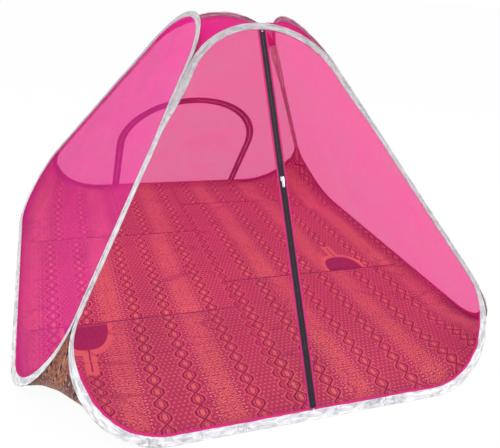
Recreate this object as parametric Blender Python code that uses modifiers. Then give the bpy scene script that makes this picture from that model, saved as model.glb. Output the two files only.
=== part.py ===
"""Pop-up net tent: four sprung hoops, sheer net walls, a zipped front slit and a zipped rear door.

Metres, +Z up, +X to the right seen from the front, +Y towards the rear, standing on z = 0.
"""
import math
from functools import partial

import bmesh
import bpy
from mathutils import Matrix, Vector

# Tent size: the hip lines run from the base corners to one point above the crown
BASE_WIDTH = 1.80
BASE_DEPTH = 2.00
PEAK_HEIGHT = 1.376
FOOT_SPLIT = 0.445
CROWN_SPLIT = 0.592

# Hoop wire, the ferrule that joins its ends, and the binding tape folded over it
WIRE_RADIUS = 0.0015
WIRE_END_GAP = 0.001
FERRULE_LENGTH = 0.036
FERRULE_WALL = 0.0006
TAPE_WALL = 0.0008
TAPE_WIDTH = 0.028
BINDING_GAP = 0.060
PATCH_LENGTH = 0.160

# Sheets
NET_THICKNESS = 0.0006
NET_EDGE = 0.003
CLOTH_THICKNESS = 0.0012
CLEARANCE = 0.0003

# Pieced floor cloth: one lengthwise seam, and cross seams that differ on its two sides
LENGTHWISE_SEAM_X = -0.035
LEFT_SEAMS_Y = (-0.37, 0.34)
RIGHT_SEAMS_Y = (-0.17, 0.68)
CORNER_TUCK = 0.14
CORNER_TUCK_START = 0.45

# Zips
ZIP_TAPE_WIDTH = 0.0092
ZIP_TAPE_THICKNESS = 0.0008
COIL_WIDTH = 0.0025
COIL_HEIGHT = 0.0024
CHAIN_GAP = 0.0010
STOP_LENGTH = 0.004
STOP_HEIGHT = 0.003

# Rear door: a half round arch on two straight legs, which stand inside the hoop's rounded corners
DOOR_CORNER_MARGIN = 0.090
DOOR_SPRING_HEIGHT = 0.42

# Slider and pull tab
SLIDER_WIDTH = 0.013
SLIDER_LENGTH = 0.016
SLIDER_PLATE = 0.001
SLIDER_BRIDGE_LENGTH = 0.005
EAR_THICKNESS = 0.001
EAR_LENGTH = 0.0026
PIN_RADIUS = 0.0006
KNUCKLE_WALL = 0.0006
KNUCKLE_LENGTH = 0.0038
PULL_WIDTH = 0.009
PULL_LENGTH = 0.030
PULL_THICKNESS = 0.0012
PULL_NECK = 0.0032
PULL_HOLE_RADIUS = 0.0016
PULL_HOLE_EDGE = 0.0036
FRONT_SLIDER_HEIGHT = 0.775
REAR_SLIDER_ANGLE = math.radians(152)

# Facets
CORNER_STEPS = 9
CROWN_STEPS = 12
DOOR_STEPS = 60
BEAD_STEPS = 6
TURN_STEPS = 16
GUSSET_COLUMNS = 6
GUSSET_ROWS = 10
RELAX_ROUNDS = 144

# Sizes that follow from those above
BEAD_INNER = WIRE_RADIUS + CLEARANCE
BEAD_OUTER = BEAD_INNER + TAPE_WALL
SLOT_HALF = max(NET_THICKNESS, ZIP_TAPE_THICKNESS) / 2 + CLEARANCE
LEG_HALF = SLOT_HALF + TAPE_WALL
LEG_END = TAPE_WIDTH - BEAD_OUTER
PATCH_INNER = BEAD_OUTER + CLEARANCE
PATCH_OUTER = PATCH_INNER + TAPE_WALL
PATCH_SLOT_HALF = LEG_HALF + CLEARANCE
PATCH_HALF = PATCH_SLOT_HALF + TAPE_WALL
COIL_NEAR = CHAIN_GAP / 2
COIL_FAR = COIL_NEAR + COIL_WIDTH
ZIP_TAPE_NEAR = COIL_FAR + CLEARANCE
ZIP_TAPE_FAR = ZIP_TAPE_NEAR + ZIP_TAPE_WIDTH
ZIP_NET_EDGE = ZIP_TAPE_FAR + CLEARANCE
WIRE_HEIGHT = PATCH_OUTER + CLEARANCE
DOOR_RADIUS = BASE_WIDTH / 2 - FOOT_SPLIT - DOOR_CORNER_MARGIN
SEAT_DEPTH = BEAD_OUTER + CLEARANCE

SILVER = (0.56, 0.56, 0.60)
STEEL = (0.45, 0.45, 0.46)
NICKEL = (0.72, 0.71, 0.69)
PINK = (0.90, 0.30, 0.50)
BLACK = (0.02, 0.02, 0.025)
MAROON = (0.23, 0.05, 0.09)

for old in list(bpy.data.objects):
    bpy.data.objects.remove(old, do_unlink=True)

parts = bpy.data.collections.new("pop_up_net_tent")
guides = bpy.data.collections.new("guides_and_cutters")
bpy.context.scene.collection.children.link(parts)
bpy.context.scene.collection.children.link(guides)


def make_material(name, colour, roughness, metallic=0.0):
    """A Principled material of one colour."""
    material = bpy.data.materials.new(name)
    material.use_nodes = True
    shader = material.node_tree.nodes["Principled BSDF"]
    shader.inputs["Base Color"].default_value = (*colour, 1.0)
    shader.inputs["Roughness"].default_value = roughness
    shader.inputs["Metallic"].default_value = metallic
    return material


def add_part(name, data, parent, colour, roughness=0.6, metallic=0.0):
    """Link one sub-part with its own material under its parent empty."""
    part = bpy.data.objects.new(name, data)
    part.parent = parent
    data.materials.append(make_material(name, colour, roughness, metallic))
    parts.objects.link(part)
    return part


def add_empty(name, parent=None, location=(0.0, 0.0, 0.0), rotation=(0.0, 0.0, 0.0)):
    """An empty that carries pieces: a panel's own frame or a joint's axis."""
    empty = bpy.data.objects.new(name, None)
    empty.parent = parent
    empty.location = location
    empty.rotation_euler = rotation
    empty.empty_display_size = 0.05
    guides.objects.link(empty)
    return empty


def poly_curve(name, points, closed):
    """A flat curve through the given points with straight runs between them."""
    curve = bpy.data.curves.new(name, "CURVE")
    curve.dimensions = "2D"
    spline = curve.splines.new("POLY")
    add_points(spline, points, closed)
    return curve


def add_points(spline, points, closed):
    """Fill a spline with points in its own plane."""
    spline.points.add(len(points) - 1)
    for target, point in zip(spline.points, points):
        target.co = (point[0], point[1], 0.0, 1.0)
    spline.use_cyclic_u = closed


def flat_curve(name, outline, thickness, holes=()):
    """A flat sheet of even thickness with any holes cut through it."""
    curve = poly_curve(name, outline, True)
    for hole in holes:
        add_points(curve.splines.new("POLY"), hole, True)
    curve.fill_mode = "BOTH"
    curve.extrude = thickness / 2
    return curve


def guide_section(name, outline):
    """A closed section that a curve carries along its path."""
    guide = bpy.data.objects.new(name, poly_curve(name, outline, True))
    guide.hide_render = True
    guide.display_type = "WIRE"
    guides.objects.link(guide)
    return guide


def arc(centre, radius, start, end, steps):
    """Points along an arc between two angles, both ends included."""
    angles = [start + (end - start) * step / steps for step in range(steps + 1)]
    return [(centre[0] + radius * math.cos(a), centre[1] + radius * math.sin(a)) for a in angles]


def mirrored(points):
    """The same outline on the other side of x = 0, still running the same way round."""
    return [(-x, y) for x, y in reversed(points)]


def clipped(points, axis, limit, keep_above):
    """The part of an outline on one side of a line across X (axis 0) or Y (axis 1)."""
    sign = 1.0 if keep_above else -1.0
    kept = []
    for here, there in zip(points, points[1:] + points[:1]):
        here_in = sign * (here[axis] - limit) >= 0.0
        there_in = sign * (there[axis] - limit) >= 0.0
        if here_in:
            kept.append(here)
        if here_in != there_in:
            share = (limit - here[axis]) / (there[axis] - here[axis])
            kept.append(tuple(h + (t - h) * share for h, t in zip(here, there)))
    return kept


class Panel:
    """One triangular wall: X along its base, Y up its slope, Z outwards."""

    def __init__(self, name, quarter_turns):
        self.name = name
        ends = quarter_turns % 2 == 0
        self.half_base = (BASE_WIDTH if ends else BASE_DEPTH) / 2
        self.run = (BASE_DEPTH if ends else BASE_WIDTH) / 2
        self.slope = math.atan2(PEAK_HEIGHT, self.run)
        self.slant = math.hypot(self.run, PEAK_HEIGHT)
        self.base_angle = math.atan2(self.slant, self.half_base)
        self.foot_radius = FOOT_SPLIT * math.tan(self.base_angle / 2)
        self.crown_radius = CROWN_SPLIT / math.tan(self.base_angle)
        self.turn = quarter_turns * math.pi / 2
        self.origin = Matrix.Rotation(self.turn, 3, "Z") @ Vector((0.0, -self.run, 0.0))
        self.wire_base = WIRE_HEIGHT / math.sin(self.slope)
        self.empty = None

    def frame(self):
        """The wall's own frame at rest, in the world."""
        turn = Matrix.Rotation(self.turn, 4, "Z") @ Matrix.Rotation(self.slope, 4, "X")
        return Matrix.Translation(self.origin) @ turn

    def corner_arcs(self, inset):
        """Centres, radii and angles of the three rounded corners, a distance inside the wire."""
        angle = self.base_angle
        side = HIP_INSET + inset
        base = self.wire_base + inset
        corner_x = self.half_base - (side + base * math.cos(angle)) / math.sin(angle)
        peak_y = self.slant - side / math.cos(angle)
        foot_r = self.foot_radius - inset
        crown_r = self.crown_radius - inset
        foot_x = corner_x - foot_r / math.tan(angle / 2)
        quarter = math.pi / 2
        right = ((foot_x, base + foot_r), foot_r, -quarter, quarter - angle, CORNER_STEPS)
        crown_y = peak_y - crown_r / math.cos(angle)
        top = ((0.0, crown_y), crown_r, quarter - angle, quarter + angle, CROWN_STEPS)
        left = ((-foot_x, base + foot_r), foot_r, quarter + angle, 3 * quarter, CORNER_STEPS)
        return right, top, left

    def outline(self, inset):
        """The rounded triangle a distance inside the wire, from the foot of its right corner."""
        right, top, left = self.corner_arcs(inset)
        return arc(*right) + arc(*top) + arc(*left)

    def crown_point(self, share, depth):
        """A world point on the top arc, from its right end to its left end, a depth inside the wall."""
        centre, radius, start, end, _ = self.corner_arcs(0.0)[1]
        return self.world_point(centre, radius, start + (end - start) * share, depth)

    def foot_point(self, side, share, depth):
        """A world point on a lower corner's arc, from the hip down to the base."""
        right, _, left = self.corner_arcs(0.0)
        centre, radius, start, end, _ = right if side == "right" else left
        hip, base = (end, start) if side == "right" else (start, end)
        return self.world_point(centre, radius, hip + (base - hip) * share, depth)

    def world_point(self, centre, radius, angle, depth):
        """A point on an arc in this wall's plane, moved inwards by a depth."""
        x = centre[0] + radius * math.cos(angle)
        y = centre[1] + radius * math.sin(angle)
        return self.frame() @ Vector((x, y, -depth))


def dihedral(first, second):
    """The angle between two neighbouring walls, measured inside the tent."""
    return math.pi - math.acos(math.cos(first.slope) * math.cos(second.slope))


front = Panel("front", 0)
right = Panel("right", 1)
rear = Panel("rear", 2)
left = Panel("left", 3)
walls = (front, right, rear, left)
HIP_ANGLE = dihedral(front, left)
HIP_INSET = (BEAD_OUTER + CLEARANCE / 2) / math.sin(HIP_ANGLE / 2)

# Folded walls lie this far apart, so that a patch clears the neighbouring bead
FOLD_SPACING = PATCH_OUTER + BEAD_OUTER + 2 * CLEARANCE
CLOSING_HIP_DEPTH = FOLD_SPACING / 2 / math.sin(HIP_ANGLE / 2)

# Joint axes and wall frames
base_corner = Vector((BASE_WIDTH / 2, BASE_DEPTH / 2, 0.0))
hip_inwards = -(front.frame().to_3x3().col[2] + left.frame().to_3x3().col[2]).normalized()
front_left_hip = Vector((-base_corner.x, -base_corner.y, 0.0)) + hip_inwards * CLOSING_HIP_DEPTH
front_right_hip = Vector((base_corner.x, -base_corner.y, 0.0))
rear_left_hip = Vector((-base_corner.x, base_corner.y, 0.0))
left_fold = add_empty("left_fold_axis", None, front_left_hip)
right_fold = add_empty("right_fold_axis", None, front_right_hip)
rear_fold = add_empty("rear_fold_axis", left_fold, rear_left_hip - front_left_hip)
fold_origins = {
    "front": (None, Vector()),
    "right": (right_fold, front_right_hip),
    "rear": (rear_fold, rear_left_hip),
    "left": (left_fold, front_left_hip),
}
for wall in walls:
    carrier, origin = fold_origins[wall.name]
    wall.empty = add_empty(wall.name + "_wall", carrier, wall.origin - origin, (wall.slope, 0.0, wall.turn))


def fold_section(inner, outer, slot_half, leg_half):
    """Section of a tape folded round the wire: a bead with two legs that hold the net between them."""
    outer_start = math.asin(leg_half / outer)
    inner_start = math.asin(slot_half / inner)
    half = math.pi
    outer_arc = arc((0.0, 0.0), outer, half - outer_start, outer_start - half, BEAD_STEPS)
    inner_arc = arc((0.0, 0.0), inner, inner_start - half, half - inner_start, BEAD_STEPS)
    ends = [(-LEG_END, -leg_half), (-LEG_END, -slot_half)]
    return [(-LEG_END, leg_half)] + outer_arc + ends + inner_arc + [(-LEG_END, slot_half)]


binding_section = guide_section("binding_section", fold_section(BEAD_INNER, BEAD_OUTER, SLOT_HALF, LEG_HALF))
patch_outline = fold_section(PATCH_INNER, PATCH_OUTER, PATCH_SLOT_HALF, PATCH_HALF)
patch_section = guide_section("patch_section", patch_outline)


def hoop_path(wall, bare_length):
    """The wire's centre line, open by a bare length at the middle of the base."""
    half = bare_length / 2
    return [(half, wall.wire_base)] + wall.outline(0.0) + [(-half, wall.wire_base)]


def add_swept(name, path, section, parent, colour, roughness):
    """A tape of constant section along an open path."""
    curve = poly_curve(name, path, False)
    curve.bevel_mode = "OBJECT"
    curve.bevel_object = section
    curve.use_fill_caps = True
    return add_part(name, curve, parent, colour, roughness)


def add_hoop(wall):
    """The sprung wire, its ferrule, its binding tape and the patch over the joint."""
    wire = poly_curve(wall.name + "_hoop", hoop_path(wall, WIRE_END_GAP), False)
    wire.bevel_depth = WIRE_RADIUS
    wire.bevel_resolution = 2
    wire.use_fill_caps = True
    add_part(wall.name + "_hoop", wire, wall.empty, STEEL, 0.35, 1.0)
    add_ferrule(wall)
    binding_path = hoop_path(wall, BINDING_GAP)
    add_swept(wall.name + "_binding", binding_path, binding_section, wall.empty, SILVER, 0.35)
    patch_path = [(-PATCH_LENGTH / 2, wall.wire_base), (PATCH_LENGTH / 2, wall.wire_base)]
    add_swept(wall.name + "_joint_patch", patch_path, patch_section, wall.empty, SILVER, 0.4)


def add_turned(name, profile, parent, colour, roughness, metallic):
    """A profile of radius and height turned about its own Z axis."""
    mesh = bpy.data.meshes.new(name)
    builder = bmesh.new()
    corners = [builder.verts.new((radius, 0.0, height)) for radius, height in profile]
    for first, second in zip(corners, corners[1:] + corners[:1]):
        builder.edges.new((first, second))
    builder.to_mesh(mesh)
    builder.free()
    part = add_part(name, mesh, parent, colour, roughness, metallic)
    screw = part.modifiers.new("turn", "SCREW")
    screw.axis = "Z"
    screw.steps = TURN_STEPS
    screw.render_steps = TURN_STEPS
    screw.use_merge_vertices = True
    screw.merge_threshold = 0.00001
    return part


def tube_profile(bore, outer, half_length):
    """A plain tube's section, run down its outer side."""
    return [(outer, half_length), (outer, -half_length), (bore, -half_length), (bore, half_length)]


def add_ferrule(wall):
    """The crimped sleeve that holds the two ends of the wire."""
    profile = tube_profile(BEAD_INNER, BEAD_INNER + FERRULE_WALL, FERRULE_LENGTH / 2)
    sleeve = add_turned(wall.name + "_ferrule", profile, wall.empty, STEEL, 0.4, 1.0)
    sleeve.location = (0.0, wall.wire_base, 0.0)
    sleeve.rotation_euler = (0.0, math.pi / 2, 0.0)


for wall in walls:
    add_hoop(wall)


def add_sheet(name, outline, thickness, parent, colour, roughness=0.8):
    """A flat sheet in its parent's XY plane."""
    return add_part(name, flat_curve(name, outline, thickness), parent, colour, roughness)


def add_side_net(wall):
    """A net that fills the whole hoop."""
    add_sheet(wall.name + "_net", wall.outline(NET_EDGE), NET_THICKNESS, wall.empty, PINK)


add_side_net(left)
add_side_net(right)

# Front net, in two halves beside the zip
front_half = clipped(front.outline(NET_EDGE), 0, ZIP_NET_EDGE, True)
add_sheet("front_net_right", front_half, NET_THICKNESS, front.empty, PINK)
add_sheet("front_net_left", mirrored(front_half), NET_THICKNESS, front.empty, PINK)


def strip(near, far, bottom, top):
    """A straight strip beside the middle line."""
    return [(near, bottom), (far, bottom), (far, top), (near, top)]


# Front zip, from the patch at the base to the binding at the crown
front_top = max(y for x, y in front_half if x <= ZIP_TAPE_FAR + 2 * CLEARANCE)
chain_bottom = front.wire_base + LEG_END + CLEARANCE
chain_top = front_top + NET_EDGE - LEG_END - CLEARANCE
coil_bottom = chain_bottom + STOP_LENGTH + CLEARANCE
coil_top = chain_top - STOP_LENGTH - CLEARANCE
tape_strip = strip(ZIP_TAPE_NEAR, ZIP_TAPE_FAR, front.wire_base + NET_EDGE, front_top)
coil_strip = strip(COIL_NEAR, COIL_FAR, coil_bottom, coil_top)
add_sheet("front_zip_tape_right", tape_strip, ZIP_TAPE_THICKNESS, front.empty, BLACK)
add_sheet("front_zip_tape_left", mirrored(tape_strip), ZIP_TAPE_THICKNESS, front.empty, BLACK)
add_sheet("front_zip_coil_right", coil_strip, COIL_HEIGHT, front.empty, BLACK)
add_sheet("front_zip_coil_left", mirrored(coil_strip), COIL_HEIGHT, front.empty, BLACK)
bottom_stop = strip(-COIL_FAR, COIL_FAR, chain_bottom, chain_bottom + STOP_LENGTH)
top_stop = strip(-COIL_FAR, COIL_FAR, chain_top - STOP_LENGTH, chain_top)
add_sheet("front_zip_bottom_stop", bottom_stop, STOP_HEIGHT, front.empty, NICKEL, 0.4)
add_sheet("front_zip_top_stop", top_stop, STOP_HEIGHT, front.empty, NICKEL, 0.4)


def arch(radius, foot_y):
    """An arch from its right foot to its left foot."""
    spring = (0.0, rear.wire_base + DOOR_SPRING_HEIGHT)
    return [(radius, foot_y)] + arc(spring, radius, 0.0, math.pi, DOOR_STEPS) + [(-radius, foot_y)]


def arch_band(near, far, foot_y):
    """The flat band between two arches."""
    return arch(DOOR_RADIUS + far, foot_y) + list(reversed(arch(DOOR_RADIUS + near, foot_y)))


# Rear net with its arched doorway, and the fixed side of the door's zip
net_foot = rear.wire_base + NET_EDGE
doorway = list(reversed(arch(DOOR_RADIUS + ZIP_NET_EDGE, net_foot)))
add_sheet("rear_net", rear.outline(NET_EDGE) + doorway, NET_THICKNESS, rear.empty, PINK)
rear_tape = arch_band(ZIP_TAPE_NEAR, ZIP_TAPE_FAR, net_foot)
add_sheet("rear_zip_tape_outer", rear_tape, ZIP_TAPE_THICKNESS, rear.empty, BLACK)
door_foot = rear.wire_base + LEG_END + CLEARANCE
rear_coil_foot = door_foot + STOP_LENGTH + CLEARANCE
rear_coil = arch_band(COIL_NEAR, COIL_FAR, rear_coil_foot)
add_sheet("rear_zip_coil_outer", rear_coil, COIL_HEIGHT, rear.empty, BLACK)
foot_stop = strip(DOOR_RADIUS + COIL_NEAR, DOOR_RADIUS + COIL_FAR, door_foot, door_foot + STOP_LENGTH)
add_sheet("rear_zip_stop_right", foot_stop, STOP_HEIGHT, rear.empty, NICKEL, 0.4)
add_sheet("rear_zip_stop_left", mirrored(foot_stop), STOP_HEIGHT, rear.empty, NICKEL, 0.4)

# Door flap with its own side of the zip, on a hinge line outside the tapes at its foot
hinge_out = PATCH_HALF + CLEARANCE
door_hinge = add_empty("rear_door_axis", rear.empty, (0.0, door_foot, hinge_out))
door_sheets = (
    ("rear_door_net", arch(DOOR_RADIUS - ZIP_NET_EDGE, door_foot), NET_THICKNESS, PINK),
    ("rear_door_zip_tape", arch_band(-ZIP_TAPE_FAR, -ZIP_TAPE_NEAR, door_foot), ZIP_TAPE_THICKNESS, BLACK),
    ("rear_door_zip_coil", arch_band(-COIL_FAR, -COIL_NEAR, door_foot), COIL_HEIGHT, BLACK),
)
for name, outline, thickness, colour in door_sheets:
    sheet = add_sheet(name, outline, thickness, door_hinge, colour)
    sheet.location = (0.0, -door_foot, -hinge_out)


def block(name, low, high, parent):
    """A box between two corners."""
    mesh = bpy.data.meshes.new(name)
    builder = bmesh.new()
    bmesh.ops.create_cube(builder, size=1.0)
    size = Matrix.Diagonal((*(Vector(high) - Vector(low)), 1.0))
    middle = Matrix.Translation((Vector(high) + Vector(low)) / 2)
    bmesh.ops.transform(builder, matrix=middle @ size, verts=builder.verts)
    builder.to_mesh(mesh)
    builder.free()
    return helper_object(name, mesh, parent)


def rod(name, radius, length, centre, parent):
    """A round bar along X."""
    mesh = bpy.data.meshes.new(name)
    builder = bmesh.new()
    lie_along_x = Matrix.Translation(centre) @ Matrix.Rotation(math.pi / 2, 4, "Y")
    bmesh.ops.create_cone(
        builder,
        cap_ends=True,
        segments=TURN_STEPS,
        radius1=radius,
        radius2=radius,
        depth=length,
        matrix=lie_along_x,
    )
    builder.to_mesh(mesh)
    builder.free()
    return helper_object(name, mesh, parent)


def helper_object(name, mesh, parent):
    """A cutter or a body that is joined to another."""
    helper = bpy.data.objects.new(name, mesh)
    helper.parent = parent
    helper.hide_render = True
    helper.display_type = "WIRE"
    guides.objects.link(helper)
    return helper


def combine(part, helper, operation):
    """Join or cut a part with a helper."""
    boolean = part.modifiers.new(helper.name, "BOOLEAN")
    boolean.operation = operation
    boolean.object = helper


plate_low = COIL_HEIGHT / 2 + CLEARANCE
plate_high = plate_low + SLIDER_PLATE
knuckle_radius = PIN_RADIUS + CLEARANCE + KNUCKLE_WALL
pin_height = plate_high + knuckle_radius + CLEARANCE
ear_near = KNUCKLE_LENGTH / 2 + CLEARANCE
ear_far = ear_near + EAR_THICKNESS


def add_slider(name, carrier):
    """Two plates round the coils, a bridge between them, and two ears that hold the pull tab's pin."""
    half_w = SLIDER_WIDTH / 2
    half_l = SLIDER_LENGTH / 2
    bridge_half = COIL_NEAR - CLEARANCE
    top = block(name + "_top", (-half_w, -half_l, plate_low), (half_w, half_l, plate_high), carrier)
    slider = add_part(name, top.data.copy(), carrier, NICKEL, 0.25, 1.0)
    bpy.data.objects.remove(top, do_unlink=True)
    bridge_low = (-bridge_half, half_l - SLIDER_BRIDGE_LENGTH, -plate_high)
    bodies = [
        block(name + "_bottom", (-half_w, -half_l, -plate_high), (half_w, half_l, -plate_low), carrier),
        block(name + "_bridge", bridge_low, (bridge_half, half_l, plate_high), carrier),
        rod(name + "_pin", PIN_RADIUS, 2 * ear_far - EAR_THICKNESS, (0.0, 0.0, pin_height), carrier),
    ]
    for side in (-1, 1):
        near, far = sorted((side * ear_near, side * ear_far))
        ear_low = (near, -EAR_LENGTH / 2, plate_low)
        ear_high = (far, EAR_LENGTH / 2, pin_height + PIN_RADIUS + CLEARANCE)
        bodies.append(block(f"{name}_ear_{side}", ear_low, ear_high, carrier))
    for body in bodies:
        combine(slider, body, "UNION")
    return slider


def add_pull(name, hinge):
    """A flat tab with a knuckle round the slider's pin and a small hole at its end."""
    half_w = PULL_WIDTH / 2
    half_neck = KNUCKLE_LENGTH / 2 - CLEARANCE
    outline = [(half_neck, 0.0), (-half_neck, 0.0), (-half_neck, -PULL_NECK), (-half_w, -PULL_NECK)]
    outline += arc((0.0, half_w - PULL_LENGTH), half_w, math.pi, 2 * math.pi, TURN_STEPS // 2)
    outline += [(half_w, -PULL_NECK), (half_neck, -PULL_NECK)]
    hole = arc((0.0, PULL_HOLE_EDGE - PULL_LENGTH), PULL_HOLE_RADIUS, 0.0, 2 * math.pi, TURN_STEPS)[:-1]
    curve = flat_curve(name + "_outline", outline, PULL_THICKNESS, [hole])
    curve_object = bpy.data.objects.new(name + "_outline", curve)
    guides.objects.link(curve_object)
    evaluated = curve_object.evaluated_get(bpy.context.evaluated_depsgraph_get())
    mesh = bpy.data.meshes.new_from_object(evaluated)
    builder = bmesh.new()
    builder.from_mesh(mesh)
    bmesh.ops.remove_doubles(builder, verts=builder.verts, dist=0.000001)
    builder.to_mesh(mesh)
    builder.free()
    bpy.data.objects.remove(curve_object, do_unlink=True)
    pull = add_part(name, mesh, hinge, NICKEL, 0.25, 1.0)
    on_axis = (0.0, 0.0, 0.0)
    knuckle = rod(name + "_knuckle", knuckle_radius, KNUCKLE_LENGTH, on_axis, hinge)
    combine(pull, knuckle, "UNION")
    bore_length = KNUCKLE_LENGTH + 2 * EAR_THICKNESS
    bore = rod(name + "_bore", PIN_RADIUS + CLEARANCE, bore_length, on_axis, hinge)
    combine(pull, bore, "DIFFERENCE")
    return pull


front_slide = add_empty("front_slider_axis", front.empty, (0.0, FRONT_SLIDER_HEIGHT, 0.0))
add_slider("front_zip_slider", front_slide)
front_pull_hinge = add_empty("front_pull_axis", front_slide, (0.0, 0.0, pin_height))
add_pull("front_zip_pull", front_pull_hinge)

arch_centre = (0.0, rear.wire_base + DOOR_SPRING_HEIGHT, 0.0)
rear_travel = add_empty("rear_slider_axis", rear.empty, arch_centre)
slider_spot = (DOOR_RADIUS * math.cos(REAR_SLIDER_ANGLE), DOOR_RADIUS * math.sin(REAR_SLIDER_ANGLE), 0.0)
rear_slide = add_empty("rear_slider_spot", rear_travel, slider_spot, (0.0, 0.0, REAR_SLIDER_ANGLE - math.pi))
add_slider("rear_zip_slider", rear_slide)
rear_pull_hinge = add_empty("rear_pull_axis", rear_slide, (0.0, 0.0, pin_height))
add_pull("rear_zip_pull", rear_pull_hinge)


def sheet_surface(name, columns, rows, place, thickness, colour, carrier, carrier_origin):
    """A thickened surface whose point at any share across and along is given by a function."""
    mesh = bpy.data.meshes.new(name)
    builder = bmesh.new()
    bmesh.ops.create_grid(builder, x_segments=columns, y_segments=rows, size=0.5)
    for vertex in builder.verts:
        vertex.co = place(vertex.co.x + 0.5, vertex.co.y + 0.5) - carrier_origin
    builder.to_mesh(mesh)
    builder.free()
    part = add_part(name, mesh, carrier, colour, 0.8)
    solidify = part.modifiers.new("thickness", "SOLIDIFY")
    solidify.thickness = thickness
    solidify.offset = 0.0
    mesh.shade_smooth()
    return part


def corner_cloth_point(first, second, across, down):
    """The floor cloth in a base corner: taut between the hoops above, tucked inwards below."""
    depth = SEAT_DEPTH + CLOTH_THICKNESS / 2
    start = first.foot_point("left", down, depth)
    end = second.foot_point("right", down, depth)
    point = start.lerp(end, across)
    tuck = max(0.0, (down - CORNER_TUCK_START) / (1.0 - CORNER_TUCK_START))
    corner = Vector((start.x + end.x, start.y + end.y, 0.0)).normalized()
    point -= corner * CORNER_TUCK * tuck * 2 * math.sqrt(across * (1.0 - across))
    seat = CLOTH_THICKNESS + CLEARANCE + CLOTH_THICKNESS / 2
    foot_start = first.foot_point("left", 1.0, depth)
    foot_end = second.foot_point("right", 1.0, depth)
    point.z += (seat - foot_start.lerp(foot_end, across).z) * down
    return point


corner_gussets = (
    ("front_left_gusset", front, left, None, Vector()),
    ("front_right_gusset", right, front, None, Vector()),
    ("rear_left_gusset", left, rear, left_fold, front_left_hip),
    ("rear_right_gusset", rear, right, right_fold, front_right_hip),
)
for name, first, second, carrier, origin in corner_gussets:
    place = partial(corner_cloth_point, first, second)
    sheet_surface(name, GUSSET_COLUMNS, GUSSET_ROWS, place, CLOTH_THICKNESS, MAROON, carrier, origin)


def floor_outline():
    """The floor's edge: straight along each wall, scalloped at each corner under the gusset's foot."""
    points = []
    for first, second in ((right, front), (rear, right), (left, rear), (front, left)):
        for step in range(CORNER_STEPS + 1):
            across = 1.0 - step / CORNER_STEPS
            points.append(corner_cloth_point(first, second, across, 1.0))
    side_limit = BASE_WIDTH / 2 - edge_margin(left)
    end_limit = BASE_DEPTH / 2 - edge_margin(front)
    clamp_x = [max(-side_limit, min(side_limit, point.x)) for point in points]
    clamp_y = [max(-end_limit, min(end_limit, point.y)) for point in points]
    return list(zip(clamp_x, clamp_y))


def edge_margin(wall):
    """How far the floor stops inside a wall's base line, clear of the joint patch."""
    return WIRE_HEIGHT / math.tan(wall.slope) + PATCH_OUTER + CLEARANCE


def add_floor_side(side, seams, keep_above):
    """The lengths of cloth on one side of the lengthwise seam."""
    half_gap = CLEARANCE / 2
    seam_x = LENGTHWISE_SEAM_X + (half_gap if keep_above else -half_gap)
    side_outline = clipped(floor_outline(), 0, seam_x, keep_above)
    starts = (-BASE_DEPTH, *seams)
    ends = (*seams, BASE_DEPTH)
    for place_name, start, end in zip(("front", "middle", "rear"), starts, ends):
        length = clipped(side_outline, 1, start + half_gap, True)
        length = clipped(length, 1, end - half_gap, False)
        name = f"floor_cloth_{side}_{place_name}"
        sheet = add_sheet(name, length, CLOTH_THICKNESS, None, MAROON)
        sheet.location.z = CLOTH_THICKNESS / 2


add_floor_side("left", LEFT_SEAMS_Y, False)
add_floor_side("right", RIGHT_SEAMS_Y, True)


def crown_edge(across, along):
    """A world point on the crown's edge, on the inside of the four top arcs."""
    depth = SEAT_DEPTH + NET_THICKNESS / 2
    found = []
    if along == 0.0:
        found.append(front.crown_point(1.0 - across, depth))
    if along == 1.0:
        found.append(rear.crown_point(across, depth))
    if across == 0.0:
        found.append(left.crown_point(along, depth))
    if across == 1.0:
        found.append(right.crown_point(1.0 - along, depth))
    return sum(found, Vector()) / len(found)


def crown_grid(steps):
    """A net drawn tight over the four top arcs: each inner knot is the mean of its neighbours."""
    edge = {}
    for i in range(steps + 1):
        for j in range(steps + 1):
            if i in (0, steps) or j in (0, steps):
                edge[i, j] = crown_edge(i / steps, j / steps)
    middle = sum(edge.values(), Vector()) / len(edge)
    knots = {(i, j): edge.get((i, j), middle) for i in range(steps + 1) for j in range(steps + 1)}
    inner = [key for key in knots if key not in edge]
    for _ in range(RELAX_ROUNDS):
        for i, j in inner:
            knots[i, j] = (knots[i - 1, j] + knots[i + 1, j] + knots[i, j - 1] + knots[i, j + 1]) / 4
    return knots


crown_knots = crown_grid(CROWN_STEPS)


def crown_knot(across, along):
    """The knot of the crown net at a share across and along."""
    return crown_knots[round(across * CROWN_STEPS), round(along * CROWN_STEPS)]


sheet_surface("crown_net", CROWN_STEPS, CROWN_STEPS, crown_knot, NET_THICKNESS, PINK, None, Vector())
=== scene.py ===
import math

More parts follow.
